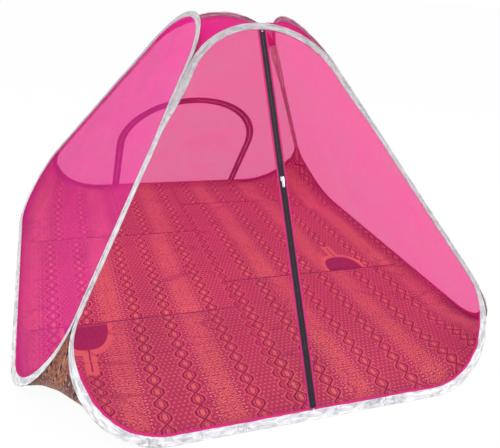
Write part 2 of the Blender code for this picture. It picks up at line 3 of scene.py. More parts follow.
import bmesh
import bpy
from mathutils import Matrix, Vector, noise
from mathutils.kdtree import KDTree
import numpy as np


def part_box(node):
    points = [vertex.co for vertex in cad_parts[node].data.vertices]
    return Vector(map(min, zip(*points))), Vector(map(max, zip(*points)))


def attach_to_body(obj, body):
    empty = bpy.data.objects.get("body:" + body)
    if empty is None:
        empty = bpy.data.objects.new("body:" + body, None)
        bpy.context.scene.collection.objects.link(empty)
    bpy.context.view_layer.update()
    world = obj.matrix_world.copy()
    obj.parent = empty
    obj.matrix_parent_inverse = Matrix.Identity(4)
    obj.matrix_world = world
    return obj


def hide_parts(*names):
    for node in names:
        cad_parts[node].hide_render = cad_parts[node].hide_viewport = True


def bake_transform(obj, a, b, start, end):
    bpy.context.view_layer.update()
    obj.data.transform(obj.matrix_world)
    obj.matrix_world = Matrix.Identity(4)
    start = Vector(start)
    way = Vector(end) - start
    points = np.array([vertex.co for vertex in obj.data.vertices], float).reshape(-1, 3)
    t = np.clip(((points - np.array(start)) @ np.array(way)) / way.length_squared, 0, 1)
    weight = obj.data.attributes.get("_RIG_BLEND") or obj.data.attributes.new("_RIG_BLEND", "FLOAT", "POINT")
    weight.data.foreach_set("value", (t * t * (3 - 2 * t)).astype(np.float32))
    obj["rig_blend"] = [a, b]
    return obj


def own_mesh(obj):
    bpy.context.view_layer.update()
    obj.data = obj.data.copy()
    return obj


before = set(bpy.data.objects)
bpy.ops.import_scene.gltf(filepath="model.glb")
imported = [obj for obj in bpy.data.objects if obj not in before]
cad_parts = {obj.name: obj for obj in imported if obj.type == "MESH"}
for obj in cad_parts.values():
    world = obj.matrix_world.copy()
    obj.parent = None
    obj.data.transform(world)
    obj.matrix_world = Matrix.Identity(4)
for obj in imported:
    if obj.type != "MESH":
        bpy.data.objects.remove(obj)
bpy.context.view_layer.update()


# Hoops
# Each wall of the tent is held open by a hoop of sprung steel wire, rounded at its three corners.
# The wire is hidden in a tape, and its two ends meet in a crimped sleeve at the middle of the base.

BASE_WIDTH = 1.80
BASE_DEPTH = 2.00
PEAK_HEIGHT = 1.376
FOOT_SPLIT = 0.445
CROWN_SPLIT = 0.592
WIRE_HEIGHT = 0.0040
HIP_INSET = 0.0034


class Wall:
    """One triangular wall: X along its base, Y up its slope, Z outwards, with its wire's route."""

    def __init__(self, name, quarter_turns):
        self.name = name
        faces_ends = quarter_turns % 2 == 0
        half_base = (BASE_WIDTH if faces_ends else BASE_DEPTH) / 2
        run = (BASE_DEPTH if faces_ends else BASE_WIDTH) / 2
        slope = math.atan2(PEAK_HEIGHT, run)
        slant = math.hypot(run, PEAK_HEIGHT)
        angle = math.atan2(slant, half_base)
        foot_radius = FOOT_SPLIT * math.tan(angle / 2)
        crown_radius = CROWN_SPLIT / math.tan(angle)
        self.base = WIRE_HEIGHT / math.sin(slope)
        corner_x = half_base - (HIP_INSET + self.base * math.cos(angle)) / math.sin(angle)
        self.foot_x = corner_x - foot_radius / math.tan(angle / 2)
        self.foot_turn = math.pi - angle
        self.crown_turn = 2 * angle
        self.right_foot = Vector((self.foot_x, self.base + foot_radius, 0.0))
        self.left_foot = Vector((-self.foot_x, self.base + foot_radius, 0.0))
        crown_y = slant - (HIP_INSET + crown_radius) / math.cos(angle)
        self.crown = Vector((0.0, crown_y, 0.0))
        self.foot_radius = foot_radius
        self.crown_radius = crown_radius
        self.square_to_hip = Vector((math.sin(angle), math.cos(angle), 0.0))
        self.hip = self.crown - self.right_foot + self.square_to_hip * (crown_radius - foot_radius)
        turn = Matrix.Rotation(quarter_turns * math.pi / 2, 4, "Z")
        self.matrix = turn @ Matrix.Translation((0.0, -run, 0.0)) @ Matrix.Rotation(slope, 4, "X")

    def from_wire(self, place):
        """Which way is outwards at a point, how deep it lies inside the wire, and how far up the corner."""
        side = math.copysign(1.0, place.x)
        spot = Vector((abs(place.x), place.y, 0.0))
        out = spot - self.right_foot
        over = spot - self.crown
        hip_turn = math.atan2(self.square_to_hip.y, self.square_to_hip.x)
        turned = math.atan2(out.y, out.x)
        if out.x <= 0.0 and out.y < 0.0:
            outward, depth, climb = Vector((0.0, -1.0, 0.0)), spot.y - self.base, 0.0
        elif turned <= hip_turn:
            climb = (turned + math.pi / 2) / self.foot_turn
            outward, depth = out.normalized(), self.foot_radius - out.length
        elif math.atan2(over.y, over.x) >= hip_turn:
            outward, depth, climb = over.normalized(), self.crown_radius - over.length, 2.0
        else:
            outward, climb = self.square_to_hip, 1.0 + (spot.y - self.right_foot.y) / self.crown.y
            depth = self.foot_radius - out.dot(self.square_to_hip)
        return Vector((side * outward.x, outward.y, 0.0)), depth, climb

    def legs(self, gap):
        """The wire's route from the middle of the base, anticlockwise, open by a gap."""
        along_base = Vector((self.foot_x - gap / 2, 0.0, 0.0))
        hip_down = Vector((self.hip.x, -self.hip.y, 0.0))
        return [
            (along_base, None, 0.0),
            (None, self.right_foot, self.foot_turn),
            (self.hip, None, 0.0),
            (None, self.crown, self.crown_turn),
            (hip_down, None, 0.0),
            (None, self.left_foot, self.foot_turn),
            (along_base, None, 0.0),
        ]


walls = {name: Wall(name, turns) for turns, name in enumerate(("front", "right", "rear", "left"))}


def new_finish(name):
    """A node material and its Principled shader."""
    material = bpy.data.materials.new(name)
    material.use_nodes = True
    return material, material.node_tree, material.node_tree.nodes["Principled BSDF"]


def attach(tree, socket, value):
    """Give an input a number, a colour or another node's output."""
    if isinstance(value, bpy.types.NodeSocket):
        tree.links.new(value, socket)
    else:
        socket.default_value = value


def feed(tree, node, **values):
    """Give a node's named inputs their values."""
    for key, value in values.items():
        attach(tree, node.inputs[key.replace("_", " ")], value)


def add_node(tree, kind, **values):
    """A node with its named inputs."""
    made = tree.nodes.new(kind)
    feed(tree, made, **values)
    return made


def add_math(tree, operation, *values):
    """A Math node's output for one to three numbers or sockets."""
    made = tree.nodes.new("ShaderNodeMath")
    made.operation = operation
    for socket, value in zip(made.inputs, values):
        attach(tree, socket, value)
    return made.outputs[0]


def add_mix(tree, share, first, second):
    """One colour laid over another by a share from 0 to 1."""
    made = tree.nodes.new("ShaderNodeMix")
    made.data_type = "RGBA"
    for place, value in ((0, share), (6, first), (7, second)):
        attach(tree, made.inputs[place], value)
    return made.outputs[2]


def add_noise(tree, place, scale, detail, distortion=0.0):
    """A noise value at a place."""
    made = add_node(
        tree, "ShaderNodeTexNoise", Vector=place, Scale=scale, Detail=detail, Distortion=distortion,
    )
    return made.outputs["Fac"]


def object_noise(tree, scale, detail=2.0, stretch=(1.0, 1.0, 1.0)):
    """Noise on the piece's own coordinates, finer along any stretched axis."""
    place = tree.nodes.new("ShaderNodeTexCoord").outputs["Object"]
    mapping = add_node(tree, "ShaderNodeMapping", Vector=place, Scale=stretch)
    return add_noise(tree, mapping.outputs[0], scale, detail)


def spread(tree, value, low, high):
    """A noise value spread between two numbers."""
    made = add_node(
        tree, "ShaderNodeMapRange", Value=value, From_Min=0.3, From_Max=0.7, To_Min=low, To_Max=high,
    )
    return made.outputs[0]


def add_bump(tree, shader, height, strength, distance):
    """Relief from a height value."""
    bump = add_node(tree, "ShaderNodeBump", Height=height, Strength=strength, Distance=distance)
    feed(tree, shader, Normal=bump.outputs[0])


def mottled_finish(name, grain, dark, light, roughness, relief=None, **sockets):
    """A finish that wavers between two tones in a fine grain, with its roughness and its relief."""
    material, tree, shader = new_finish(name)
    value = object_noise(tree, *grain)
    tone = add_mix(tree, spread(tree, value, 0.0, 1.0), (*dark, 1.0), (*light, 1.0))
    if isinstance(roughness, tuple):
        roughness = spread(tree, value, *roughness)
    feed(tree, shader, Base_Color=tone, Roughness=roughness, **sockets)
    if relief:
        add_bump(tree, shader, value, *relief)
    return material


spring_steel = mottled_finish(
    "spring_steel", (600.0, 3.0), (0.34, 0.34, 0.35), (0.55, 0.55, 0.56), (0.28, 0.45), (0.2, 0.0002),
    Metallic=1.0,
)
for name in walls:
    for piece in ("hoop", "ferrule"):
        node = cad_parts[f"{name}_{piece}"]
        node.data.materials.clear()
        node.data.materials.append(spring_steel)


# Binding tapes
# A silver woven tape, 28 mm wide when folded, is sewn over each wire and over the edge of its net.
# The sewing gathers it, so it puckers, and the tension of the net rolls it narrower up the hips and crown.

BINDING_GAP = 0.060
BEAD_RADIUS = 0.0028
TAPE_REACH = 0.0254
TAPE_HALF = 0.0016
TAPE_STEP = 0.009
PUCKER_DEPTH = 0.0013
PUCKER_LENGTH = 0.022
CROWN_SHARE = 0.84
HIP_START, HIP_SPAN = 0.55, 0.4
CROWN_START, CROWN_SPAN = 1.62, 0.2
FACING_BACK = -0.0004
FACING_RIM = -0.0015
FACING_TOP = 0.95
# How much of its width each tape keeps up its two hips, and how much painted shade darkens it there and
# round its crown
HIP_ROLL_AND_PAINTED_SHADE = {
    "front": ((0.16, 0.20), (0.50, 0.46), 0.50),
    "right": ((0.20, 0.10), (0.40, 0.40), 0.05),
    "rear": ((0.40, 0.40), (0.70, 0.50), 0.05),
    "left": ((0.70, 0.48), (0.14, 0.20), 0.40),
}


def run_count(leg, step, reach):
    """How many steps fit in one leg of a route, at a distance inside the wire."""
    vector, centre, angle = leg
    length = vector.length if vector else angle * max(reach, step)
    return max(1, round(length / step))


def sweep(points, legs, step, corner_radius):
    """A closed section carried along a route; each point remembers its distance along it."""
    whole = bmesh.new()
    carrier = bpy.data.meshes.new("leg")
    travelled = 0.0
    for vector, centre, angle in legs:
        leg = bmesh.new()
        distance = leg.verts.layers.float.new("distance")
        corners = [leg.verts.new(point) for point in points]
        edges = [leg.edges.new(pair) for pair in zip(corners, corners[1:] + corners[:1])]
        count = run_count((vector, centre, angle), step, corner_radius)
        bmesh.ops.spin(
            leg, geom=corners + edges, cent=centre or Vector(), axis=(0.0, 0.0, 1.0), angle=angle,
            steps=count, dvec=vector / count if vector else Vector(), use_duplicate=False,
        )
        length = vector.length if vector else angle * corner_radius
        for index, vertex in enumerate(leg.verts):
            vertex[distance] = travelled + length * (index // len(points)) / count
        travelled += length
        if vector:
            points = [point + vector for point in points]
        else:
            turn = Matrix.Rotation(angle, 3, "Z")
            points = [turn @ (point - centre) + centre for point in points]
        leg.to_mesh(carrier)
        leg.free()
        whole.from_mesh(carrier)
    bpy.data.meshes.remove(carrier)
    bmesh.ops.remove_doubles(whole, verts=whole.verts, dist=0.00005)
    bmesh.ops.holes_fill(whole, edges=[edge for edge in whole.edges if edge.is_boundary])
    bmesh.ops.recalc_face_normals(whole, faces=whole.faces)
    return whole


def finish_piece(name, mesh, matrix, material, smooth=True):
    """Put a finished mesh in its place, with its object at the origin."""
    mesh.transform(matrix)
    data = bpy.data.meshes.new(name)
    mesh.to_mesh(data)
    mesh.free()
    if smooth:
        data.shade_smooth()
    data.materials.append(material)
    piece = bpy.data.objects.new(name, data)
    bpy.context.scene.collection.objects.link(piece)
    return piece


def tape_section(start, bead, reach, half):
    """The folded tape's section, where the route runs along +X: a bead round the wire and two legs."""
    tip = [(-reach, 0.35 * half), (-0.94 * reach, half)]
    leg = tip + [(-0.7 * reach, 1.1 * half), (-0.4 * reach, 1.15 * half)]
    lift = math.asin(min(1.0, half / bead))
    turns = 9
    rim = [math.pi - lift - (math.pi - lift) * 2 * step / turns for step in range(turns + 1)]
    bead_points = [(bead * math.cos(a), bead * math.sin(a)) for a in rim]
    points = leg + bead_points + [(outward, -z) for outward, z in reversed(leg)]
    return [start + Vector((0.0, -outward, z)) for outward, z in points]


def pucker(mesh, depth, wavelength, seed):
    """Gather a swept tape in small uneven ridges across its length."""
    distance = mesh.verts.layers.float["distance"]
    mesh.normal_update()
    for vertex in mesh.verts:
        along = vertex[distance]
        fine = noise.noise(Vector((along / wavelength, vertex.co.z * 400.0, seed)))
        coarse = noise.noise(Vector((along / wavelength / 4, seed, vertex.co.z * 200.0)))
        vertex.co += vertex.normal * depth * (0.8 * fine + 0.9 * coarse)


def ease(value):
    """A smooth rise from 0 to 1."""
    value = max(0.0, min(1.0, value))
    return value * value * (3.0 - 2.0 * value)


def narrow(mesh, wall):
    """Roll the tape and its sewing in towards the wire, up the hips and round the crown, and mark there how
    much painted shade darkens the tape.
    """
    inward, painted_shade_share = [mesh.verts.layers.float.new(name) for name in ("depth", "painted_shade_share")]
    left_hip, right_hip, crown_shade_paint = HIP_ROLL_AND_PAINTED_SHADE[wall.name]
    for vertex in mesh.verts:
        outward, depth, climb = wall.from_wire(vertex.co)
        hip_share, hip_shade_paint = right_hip if vertex.co.x > 0.0 else left_hip
        up_hip = ease((climb - HIP_START) / HIP_SPAN)
        up_crown = ease((climb - CROWN_START) / CROWN_SPAN)
        share = 1.0 + (hip_share - 1.0) * up_hip + (CROWN_SHARE - hip_share) * up_crown
        vertex[inward] = depth
        # How much painted shade darkens the tape up its hips and round its crown
        vertex[painted_shade_share] = hip_shade_paint * up_hip + (crown_shade_paint - hip_shade_paint) * up_crown
        vertex.co += outward * max(0.0, depth - BEAD_RADIUS) * (1.0 - share)


silver_tape, tree, shader = new_finish("silver_tape")
along, inward, painted_shade_share = [tree.nodes.new("ShaderNodeAttribute") for axis in range(3)]
along.attribute_name = "distance"
inward.attribute_name = "depth"
painted_shade_share.attribute_name = "painted_shade_share"
face_normal = tree.nodes.new("ShaderNodeNewGeometry").outputs["True Normal"]
side = add_node(tree, "ShaderNodeSeparateXYZ", Vector=face_normal)


def tape_noise(tree, per_metre_along, per_metre_across, detail, distortion):
    """Noise laid out along and across the tape."""
    place = add_node(
        tree, "ShaderNodeCombineXYZ", X=add_math(tree, "MULTIPLY", along.outputs["Fac"], per_metre_along),
        Y=add_math(tree, "MULTIPLY", inward.outputs["Fac"], per_metre_across),
        Z=add_math(tree, "MULTIPLY", side.outputs["Z"], 0.4),
    )
    return add_noise(tree, place.outputs[0], 1.0, detail, distortion)


def fall_off(tree, value, reach, start):
    """A share that falls from its start to nothing as a value grows to a reach."""
    made = add_node(tree, "ShaderNodeMapRange", Value=value, From_Max=reach, To_Min=start, To_Max=0.0)
    return made.outputs[0]


creases = tape_noise(tree, 26.0, 90.0, 3.0, 0.8)
ripples = tape_noise(tree, 34.0, 22.0, 1.0, 0.9)
from_ridge = add_math(tree, "ABSOLUTE", add_math(tree, "SUBTRACT", ripples, 0.5))
clusters = spread(tree, tape_noise(tree, 7.0, 14.0, 1.0, 0.0), -0.5, 1.0)
wrinkles = add_math(tree, "MULTIPLY", fall_off(tree, from_ridge, 0.045, 1.0), clusters)
wrinkles = add_math(tree, "MAXIMUM", wrinkles, 0.0)
weave = object_noise(tree, 1500.0, 1.0)
# The tape's tone follows the crease relief and is darkest in its hollows: painted shade in the creases
shade = add_mix(tree, spread(tree, creases, 0.0, 1.0), (0.30, 0.30, 0.33, 1.0), (0.78, 0.78, 0.80, 1.0))
shade = add_mix(tree, spread(tree, weave, 0.0, 0.15), shade, (0.84, 0.84, 0.85, 1.0))
# Dark lines along the wrinkle grooves: painted shade
shade = add_mix(tree, add_math(tree, "MULTIPLY", wrinkles, 0.8), shade, (0.16, 0.16, 0.18, 1.0))
# Painted shade: the tape darkens towards a mauve grey up its hips and round its crown
shade = add_mix(tree, painted_shade_share.outputs["Fac"], shade, (0.15, 0.10, 0.12, 1.0))
feed(tree, shader, Base_Color=shade, Roughness=spread(tree, creases, 0.34, 0.55), Sheen_Weight=0.1)
relief = add_math(tree, "SUBTRACT", creases, add_math(tree, "MULTIPLY", wrinkles, 0.3))
add_bump(tree, shader, add_math(tree, "ADD", relief, add_math(tree, "MULTIPLY", weave, 0.10)), 0.8, 0.002)

wine_facing = mottled_finish(
    "wine_facing", (300.0,), (0.110, 0.006, 0.030), (0.220, 0.024, 0.050), 0.85, (0.4, 0.0006),
)


def face_inside(mesh, wall):
    """Face the tape with wine cloth on the inside of the tent, along the base and up both corners."""
    for face in mesh.faces:
        middle = face.calc_center_median()
        outward, depth, climb = wall.from_wire(middle)
        if middle.z < FACING_BACK and depth > FACING_RIM and climb < FACING_TOP:
            face.material_index = 1


def add_tape(name, wall, section, legs, step, gathers):
    """A folded tape carried along a route, gathered and faced."""
    mesh = sweep(section, legs, step, wall.right_foot.y)
    narrow(mesh, wall)
    pucker(mesh, *gathers)
    face_inside(mesh, wall)
    piece = finish_piece(name, mesh, wall.matrix, silver_tape)
    piece.data.materials.append(wine_facing)
    return piece


bindings = {}
for index, (name, wall) in enumerate(walls.items()):
    start = Vector((BINDING_GAP / 2, wall.base, 0.0))
    section = tape_section(start, BEAD_RADIUS, TAPE_REACH, TAPE_HALF)
    gathers = (PUCKER_DEPTH, PUCKER_LENGTH, index * 7.3)
    route = wall.legs(BINDING_GAP)
    bindings[name] = add_tape(f"{name}_binding_tape", wall, section, route, TAPE_STEP, gathers)
    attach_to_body(bindings[name], name)
    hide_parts(f"{name}_binding")


# Joint patches
# A second length of the same tape, 160 mm long, is wrapped over the binding where its ends meet,
# at the middle of each base, and sewn down at both ends.

PATCH_LENGTH = 0.160
PATCH_BEAD = 0.0037
PATCH_REACH = 0.0262
PATCH_HALF = 0.0026
PATCH_STEP = 0.005

for index, (name, wall) in enumerate(walls.items()):
    start = Vector((-PATCH_LENGTH / 2, wall.base, 0.0))
    section = tape_section(start, PATCH_BEAD, PATCH_REACH, PATCH_HALF)
    route = [(Vector((PATCH_LENGTH, 0.0, 0.0)), None, 0.0)]
    gathers = (0.0010, 0.016, 40.0 + index)
    patch = add_tape(f"{name}_tape_patch", wall, section, route, PATCH_STEP, gathers)
    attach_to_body(patch, name)
    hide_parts(f"{name}_joint_patch")


# Binding stitches
# A row of lockstitch in grey thread runs round each binding on both faces, near the tape's inner edge.

STITCH_PITCH = 0.0070
STITCH_LENGTH = 0.0050
STITCH_WIDTH = 0.0007
STITCH_INSET = 0.0215


def repeat(mesh, shape, legs, pitch, corner_radius):
    """Copy a small shape at an even pitch along a route, doubling the row until each leg is full."""
    for vector, centre, angle in legs:

        def copied(geometry, share):
            made = bmesh.ops.duplicate(mesh, geom=geometry)["geom"]
            verts = [item for item in made if isinstance(item, bmesh.types.BMVert)]
            if vector:
                bmesh.ops.translate(mesh, verts=verts, vec=vector * share)
            else:
                turn = Matrix.Rotation(angle * share, 3, "Z")
                bmesh.ops.rotate(mesh, verts=verts, cent=centre, matrix=turn)
            return made

        wanted = run_count((vector, centre, angle), pitch, corner_radius)
        doublings = max(0, int(math.log2(wanted / 4)))
        first = round(wanted / 2**doublings)
        total = first * 2**doublings
        row = list(shape)
        for place in range(1, first):
            row += copied(shape, place / total)
        for step in range(doublings):
            row += copied(row, first * 2**step / total)
        shape = copied(shape, 1.0)


def add_stitch(mesh, place, along, length, width):
    """One thread stitch, a slim rounded grain that lies along a direction."""
    turn = along.to_track_quat("X", "Z").to_matrix().to_4x4()
    size = Matrix.Diagonal((length / 2, width / 2, width / 2, 1.0))
    lie = Matrix.Translation(place) @ turn @ size
    verts = bmesh.ops.create_icosphere(mesh, subdivisions=1, radius=1.0, matrix=lie)["verts"]
    edges = {edge for vertex in verts for edge in vertex.link_edges}
    faces = {face for vertex in verts for face in vertex.link_faces}
    return list(verts) + list(edges) + list(faces)


grey_thread = mottled_finish(
    "grey_thread", (900.0,), (0.40, 0.39, 0.42), (0.66, 0.65, 0.68), 0.6, (0.4, 0.0003),
)
for name, wall in walls.items():
    mesh = bmesh.new()
    for face in (-1, 1):
        place = Vector((BINDING_GAP / 2, wall.base + STITCH_INSET, face * (TAPE_HALF + 0.0003)))
        first = add_stitch(mesh, place, Vector((1.0, 0.0, 0.0)), STITCH_LENGTH, STITCH_WIDTH)
        repeat(mesh, first, wall.legs(BINDING_GAP), STITCH_PITCH, wall.right_foot.y - STITCH_INSET)
    narrow(mesh, wall)
    stitches = finish_piece(f"{name}_binding_stitches", mesh, wall.matrix, grey_thread)
    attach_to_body(stitches, name)


# Net walls
# Each wall is a sheer, fine net in hot pink, cut to its hoop and held taut by the binding sewn round it.
# The front is in two halves beside the zip, and the rear has an arched doorway with a net flap in it.

NET_SPACING = 0.024
NET_RIPPLE = 0.0026
RIPPLE_FADE = 0.12
HEM_WIDTH = 0.010
HEM_TUCK = 0.003
STRIP_STEP = 0.012
HEM_TURN_SHARE = 0.72


def node_mesh(node, matrix=Matrix(), merge=0.00001):
    """A node's solid as a place's own axes see it, with its doubled points merged."""
    mesh = bmesh.new()
    mesh.from_mesh(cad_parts[node].data)
    mesh.transform(matrix.inverted())
    bmesh.ops.remove_doubles(mesh, verts=mesh.verts, dist=merge)
    mesh.normal_update()
    return mesh


def flat_cut(node, matrix, spacing):
    """The outer face of a flat sheet, in its own plane, sliced into small squares, with its flat area."""
    mesh = node_mesh(node, matrix)
    bmesh.ops.delete(mesh, geom=[f for f in mesh.faces if f.normal.z < 0.5], context="FACES")
    area = sum(face.calc_area() for face in mesh.faces)
    bmesh.ops.dissolve_faces(mesh, faces=mesh.faces)
    low = Vector(min(v.co[axis] for v in mesh.verts) for axis in range(3))
    high = Vector(max(v.co[axis] for v in mesh.verts) for axis in range(3))
    for vertex in mesh.verts:
        vertex.co.z = (low.z + high.z) / 2
    for axis in (0, 1):
        across = Vector((0.0, 0.0, 0.0))
        across[axis] = 1.0
        for step in range(1, math.ceil((high[axis] - low[axis]) / spacing)):
            everything = mesh.verts[:] + mesh.edges[:] + mesh.faces[:]
            place = low + across * spacing * step
            bmesh.ops.bisect_plane(mesh, geom=everything, dist=0.00001, plane_co=place, plane_no=across)
    return mesh, (high.x - low.x, high.y - low.y), area


def edge_distances(mesh, is_edge):
    """Each point's distance from the nearest edge point that a test picks."""
    rim = [v for v in mesh.verts if v.is_boundary and is_edge(v.co)]
    tree = KDTree(len(rim))
    for index, vertex in enumerate(rim):
        tree.insert(vertex.co, index)
    tree.balance()
    return {vertex: tree.find(vertex.co)[2] for vertex in mesh.verts}


def ripple_net(mesh, seed):
    """Small slack ripples that die out at the sewn edges."""
    reach = edge_distances(mesh, lambda place: True)
    for vertex in mesh.verts:
        place = Vector((vertex.co.x * 5.0, vertex.co.y * 9.0, seed))
        slack = noise.noise(place) + 0.5 * noise.noise(place * 2.3)
        vertex.co.z += NET_RIPPLE * ease(reach[vertex] / RIPPLE_FADE) * slack


def mix_shaders(tree, share, first, second):
    """One shader laid over another by a share from 0 to 1."""
    made = add_node(tree, "ShaderNodeMixShader", Fac=share)
    for place, node in ((1, first), (2, second)):
        attach(tree, made.inputs[place], node.outputs[0])
    return made


def net_finish(name, colour, cover):
    """Sheer net: pink thread over part of the surface, lit through, uneven where its threads bunch."""
    material, tree, shader = new_finish(name)
    threads = object_noise(tree, 260.0, 2.0)
    clouds = object_noise(tree, 6.0, 3.0)
    deep = tuple(channel * 0.86 for channel in colour)
    tone = add_mix(tree, spread(tree, clouds, 0.0, 1.0), (*deep, 1.0), (*colour, 1.0))
    feed(tree, shader, Base_Color=tone, Roughness=0.9, Specular_IOR_Level=0.15)
    for value, swing in ((threads, 0.16), (clouds, 0.12)):
        cover = add_math(tree, "MULTIPLY_ADD", add_math(tree, "SUBTRACT", value, 0.5), swing, cover)
    backlit = add_node(tree, "ShaderNodeBsdfTranslucent", Color=tone)
    thread = mix_shaders(tree, 0.5, shader, backlit)
    sheer = mix_shaders(tree, cover, tree.nodes.new("ShaderNodeBsdfTransparent"), thread)
    feed(tree, tree.nodes["Material Output"], Surface=sheer.outputs[0])
    return material


# The front net's pink is darker than the sides': painted shade
front_net_painted_shade_finish = net_finish("pink_net_front", (0.84, 0.018, 0.210), 0.38)
side_net_finish = net_finish("pink_net_sides", (1.0, 0.038, 0.460), 0.78)
left_net_finish = net_finish("pink_net_left", (1.0, 0.034, 0.430), 0.56)
crown_net_finish = net_finish("pink_net_crown", (0.84, 0.002, 0.290), 0.92)
hem_finish = net_finish("pink_net_doubled", (0.84, 0.050, 0.330), 0.94)

nets = {}
net_sheets = (
    ("front_net_left", "front", "front", front_net_painted_shade_finish),
    ("front_net_right", "front", "front", front_net_painted_shade_finish),
    ("left_net", "left", "left", left_net_finish),
    ("right_net", "right", "right", side_net_finish),
    ("rear_net", "rear", "rear", side_net_finish),
    ("rear_door_net", "rear", "rear_door", side_net_finish),
)
for index, (node, wall_name, body, finish) in enumerate(net_sheets):
    mesh, flat, area = flat_cut(node, walls[wall_name].matrix, NET_SPACING)
    ripple_net(mesh, 11.7 * index)
    nets[node] = finish_piece(f"{node}_sheet", mesh, walls[wall_name].matrix, finish)
    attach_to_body(nets[node], body)
    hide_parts(node)

# The net's doubled hem shows as a brighter strip inside each binding, along the base and up both corners
for index, (name, wall) in enumerate(walls.items()):
    inner = wall.base + TAPE_REACH - HEM_TUCK
    outer = inner + HEM_WIDTH
    corners = [(inner, 0.0006), (outer, 0.0007), (outer, -0.0007), (inner, -0.0006)]
    along_base = (Vector((wall.foot_x, 0.0, 0.0)), None, 0.0)
    half_route = [along_base, (None, wall.right_foot, wall.foot_turn * HEM_TURN_SHARE)]
    mesh = sweep([Vector((0.0, y, z)) for y, z in corners], half_route, STRIP_STEP, wall.right_foot.y)
    narrow(mesh, wall)
    pucker(mesh, 0.0006, 0.03, 90.0 + index)
    bmesh.ops.mirror(mesh, geom=mesh.verts[:] + mesh.edges[:] + mesh.faces[:], axis="X", merge_dist=0.0)
    hem = finish_piece(f"{name}_net_hem", mesh, wall.matrix, hem_finish)
    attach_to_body(hem, name)


# Crown net
# The four hoop tops hold one more piece of the net between them, drawn tight into a shallow saddle.
# It is sewn to the inner edges of their tapes.

CROWN_DROP = 0.020
DROP_REACH = 0.06

into_walls = {name: wall.matrix.inverted() for name, wall in walls.items()}


def nearest_wall(place):
    """The wall whose plane passes nearest to a point, and the point as that wall sees it."""
    seen = {name: into @ place for name, into in into_walls.items()}
    name = min(seen, key=lambda wall_name: abs(seen[wall_name].z))
    return walls[name], seen[name]


mesh = node_mesh("crown_net")
bmesh.ops.delete(mesh, geom=[f for f in mesh.faces if f.normal.z < 0.2], context="FACES")
bmesh.ops.join_triangles(mesh, faces=mesh.faces, angle_face_threshold=0.7, angle_shape_threshold=1.5)
bmesh.ops.subdivide_edges(mesh, edges=mesh.edges, cuts=2, use_grid_fill=True, smooth=0.6)
for vertex in mesh.verts:
    wall, spot = nearest_wall(vertex.co)
    outward, depth, climb = wall.from_wire(spot)
    drawn_in = CROWN_DROP * ease(1.0 - abs(spot.z) / DROP_REACH)
    vertex.co -= wall.matrix.to_3x3() @ outward * drawn_in
crown_area = sum(face.calc_area() for face in mesh.faces)
crown_net = finish_piece("crown_net_sheet", mesh, Matrix(), crown_net_finish)
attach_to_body(crown_net, "front")
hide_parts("crown_net")
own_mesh(crown_net)


# Floor cloth
# The floor is pieced from six lengths of printed cloth, along one lengthwise seam and four cross seams.
# Columns of linked lozenges run towards the rear, with fields of dots and stippled bands between them.

FLOOR_SPACING = 0.030
SEAM_X = -0.035
LEFT_SEAMS = (-0.37, 0.34)
RIGHT_SEAMS = (-0.17, 0.68)
EDGE_LIFT = 0.0245
EDGE_LIFT_REACH = 0.060
SIDE_PULL = 0.50
END_PULL = 0.58
ARC_FADE = 0.09
CORNER_LIFT = 0.026
CORNER_BESIDE = 0.40
CORNER_BEYOND = 0.50
CORNER_SPAN = 0.50
SIDE_LIMIT = 0.893
END_LIMIT = 0.993
FLOOR_CLEARANCE = 0.0015
SLACK_FADE = 0.08
CLOTH_THICKNESS = 0.0008


def floor_height(x, y):
    """The cloth's soft ridges where it lies slack on the ground."""
    broad = noise.noise(Vector((x * 2.6, y * 2.2, 3.0)))
    fine = noise.noise(Vector((x * 7.0, y * 5.0, 8.0)))
    return 0.0022 + 0.0050 * max(0.0, broad) + 0.0020 * max(0.0, fine)


def raise_edge(place):
    """Turn the cloth up inside the hoops, where it is sewn to them along the straights."""
    beside, beyond = SIDE_LIMIT - abs(place.x), END_LIMIT - abs(place.y)
    lift = EDGE_LIFT * max(0.0, 1.0 - max(0.0, min(beside, beyond)) / EDGE_LIFT_REACH) ** 2
    if beside < beyond:
        lift *= ease((walls["right"].foot_x - abs(place.y)) / ARC_FADE)
        place.x -= math.copysign(SIDE_PULL * lift, place.x)
    else:
        lift *= ease((walls["front"].foot_x - abs(place.x)) / ARC_FADE)
        place.y -= math.copysign(END_PULL * lift, place.y)
    place.z += lift


def corner_lift(place):
    """How far the hoops draw the cloth up off the ground between them, at the four corners."""
    beside = max(0.0, abs(place.x) - CORNER_BESIDE) / CORNER_SPAN
    beyond = max(0.0, abs(place.y) - CORNER_BEYOND) / CORNER_SPAN
    return CORNER_LIFT * ease(beside * beyond / 0.38)


